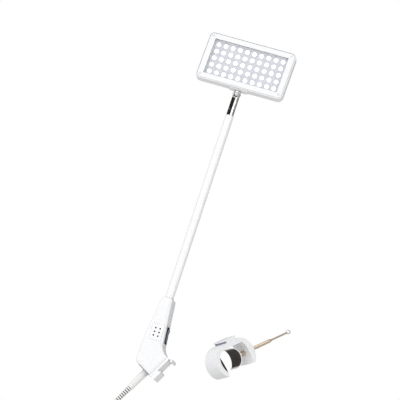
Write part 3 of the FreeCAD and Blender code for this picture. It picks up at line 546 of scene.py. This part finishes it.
def led_centres():
    """X and Z of each LED in the head's frame, ten columns of five."""
    for column in range(10):
        for row in range(5):
            yield (column - 4.5) * LED_PITCH, HEAD_Z + (row - 2) * LED_PITCH


def make_led_rims():
    """Moulded ring round each LED."""
    mesh = bmesh.new()
    for x, z in led_centres():
        centre = Matrix.Translation(Vector((x, BOARD_FACE - 0.1, z)) * MM)
        place = HEAD @ centre @ Matrix.Rotation(math.radians(90), 4, "X")
        bead(mesh, place, 0, 3.75, 0.22, steps=28, sides=6)
    piece("led_rims", mesh, "rim_grey", "head")


THREAD_ROOT, THREAD_CREST = 2.5, 2.98
THREAD_START, THREAD_STOP, THREAD_PITCH = 34.4, 97.0, 1.0


def cut_thread(mesh, along):
    """Surface of a single-start thread, as a strip that follows the helix."""
    steps = 28
    profile = ((0.0, THREAD_ROOT), (0.42, THREAD_CREST), (0.58, THREAD_CREST), (1.0, THREAD_ROOT))
    count = int((THREAD_STOP - THREAD_START) / THREAD_PITCH * steps)
    rows = []
    for j in range(count + 1):
        t = math.tau * j / steps
        row = []
        for share, radius in profile:
            z = THREAD_START + THREAD_PITCH * (j / steps + share)
            row.append(mesh.verts.new(spot(along, radius * math.cos(t), radius * math.sin(t), z)))
        rows.append(row)
    for a, b in zip(rows, rows[1:]):
        for i in range(len(profile) - 1):
            mesh.faces.new((a[i], a[i + 1], b[i + 1], b[i]))


def slotted_end(mesh):
    """Two cheeks with rounded backs, on either side of the handle's slot."""
    half_slot, steps = 0.95, 12
    for side in (-1, 1):
        rings = []
        for x, radius in ((99.7, THREAD_CREST), (103.6, THREAD_CREST), (104.2, 2.8), (104.5, 2.3)):
            reach = math.acos(half_slot / radius)
            turns = [-reach + 2 * reach * i / steps for i in range(steps + 1)]
            rings.append([spot(CLAMP, x, radius * math.sin(t), side * radius * math.cos(t))
                          for t in turns])
        loft(mesh, rings)


def make_screw():
    """Clamp screw: the button in the cup, the neck, the shoulder, the thread and the slotted end."""
    mesh = bmesh.new()
    along = CLAMP @ Matrix.Rotation(math.radians(90), 4, "Y")
    button = [(27.7, 3.5), (27.95, 3.95), (29.25, 3.95), (29.5, 3.5)]
    neck = [(29.3, 2.44), (34.6, 2.44)]
    shoulder = [(33.9, 2.3), (34.2, 2.6), (34.8, 2.6)]
    collar = [(97.0, 2.2), (97.2, 2.5), (97.9, THREAD_CREST), (99.8, THREAD_CREST), (99.9, 2.9)]
    for profile in (button, neck, shoulder):
        lathe(mesh, along, profile)
    cut_thread(mesh, along)
    lathe(mesh, along, collar)
    slotted_end(mesh)
    made = piece("clamp_screw_thread", mesh, "nickel_brass", "screw")
    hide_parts("clamp_screw")


def make_rail_stripe():
    """Grey-blue strip along each side of the clamp rail's stem: painted shade, a dark sheet standing for the
    stem's shaded side faces.
    """
    mesh = bmesh.new()
    middle, half_stem, proud, half_long, low, high, slope = 15, 9.75, 0.35, 14.6, 27.9, 30.6, 0.2
    for side in (-1, 1):
        x, out = middle + side * half_stem, middle + side * (half_stem + proud)
        section = ((x, low), (out, low + slope), (out, high - slope), (x, high))
        loft(mesh, [[spot(CLAMP, a, y, z) for a, z in section] for y in (-half_long, half_long)])
    piece("rail_side_shade_strips", mesh, "rail_side_shade_grey", "clamp", smooth=False)


for make in (make_arm_lip, make_base_seal, make_knuckle_groove_shade, make_led_rims, make_bezel_gap_shade,
             make_end_gap_shade, make_screw, make_rail_stripe):
    make()


# ---- studio ---------------------------------------------------------------------------------
FLOOR_Z = -0.95
BRIGHT_SIDE = (-0.32, -0.94, 0.10)
DARK, MIDDLE, BRIGHT = (0.22, 0.215, 0.21, 1), (0.62, 0.615, 0.61, 1), (1.22, 1.22, 1.23, 1)
AIM = (0, 0, 0.2)


def make_floor():
    """Wide pale floor under the hanging light."""
    mesh = bmesh.new()
    bmesh.ops.create_grid(mesh, x_segments=8, y_segments=8, size=9.0)
    data = bpy.data.meshes.new("floor")
    mesh.to_mesh(data)
    mesh.free()
    data.materials.append(surface("floor_paint", (0.86, 0.86, 0.86), 0.7, mottle=0.01, mottle_size=0.6))
    made = bpy.data.objects.new("floor", data)
    made.location.z = FLOOR_Z
    bpy.context.scene.collection.objects.link(made)


def area_light(name, at, size, power):
    """Square soft lamp aimed at the arm's lower half."""
    data = bpy.data.lights.new(name, "AREA")
    data.size, data.energy = size, power
    made = bpy.data.objects.new(name, data)
    made.location = at
    made.rotation_mode = "QUATERNION"
    made.rotation_quaternion = (Vector(AIM) - Vector(at)).to_track_quat("-Z", "Y")
    bpy.context.scene.collection.objects.link(made)


def make_world():
    """White surroundings to the eye; for lighting, brighter in front and to the left, dimmer behind."""
    world = bpy.data.worlds.new("studio")
    bpy.context.scene.world = world
    world.use_nodes = True
    tree = world.node_tree
    tree.nodes.clear()
    coords = tree.nodes.new("ShaderNodeTexCoord")
    facing = tree.nodes.new("ShaderNodeVectorMath")
    facing.operation = "DOT_PRODUCT"
    facing.inputs[1].default_value = Vector(BRIGHT_SIDE).normalized()
    ramp = tree.nodes.new("ShaderNodeValToRGB")
    stops = ramp.color_ramp.elements
    stops[0].position, stops[0].color = 0.0, DARK
    stops[1].position, stops[1].color = 1.0, BRIGHT
    middle = stops.new(0.45)
    middle.color = MIDDLE
    half = tree.nodes.new("ShaderNodeMath")
    half.operation = "MULTIPLY_ADD"
    half.inputs[1].default_value, half.inputs[2].default_value = 0.5, 0.5
    light = tree.nodes.new("ShaderNodeBackground")
    seen = node(tree, "ShaderNodeBackground", Color=(1, 1, 1, 1), Strength=1.0)
    ray = tree.nodes.new("ShaderNodeLightPath")
    mix = tree.nodes.new("ShaderNodeMixShader")
    out = tree.nodes.new("ShaderNodeOutputWorld")
    tree.links.new(coords.outputs["Generated"], facing.inputs[0])
    tree.links.new(facing.outputs["Value"], half.inputs[0])
    tree.links.new(half.outputs["Value"], ramp.inputs["Fac"])
    tree.links.new(ramp.outputs["Color"], light.inputs["Color"])
    tree.links.new(ray.outputs["Is Camera Ray"], mix.inputs["Fac"])
    tree.links.new(light.outputs["Background"], mix.inputs[1])
    tree.links.new(seen.outputs["Background"], mix.inputs[2])
    tree.links.new(mix.outputs["Shader"], out.inputs["Surface"])


make_floor()
make_world()
area_light("key", (-0.9, -2.8, 1.3), 1.6, 13)
area_light("fill", (2.1, -2.1, -0.1), 1.5, 12)
bpy.context.scene.view_settings.view_transform = "Standard"
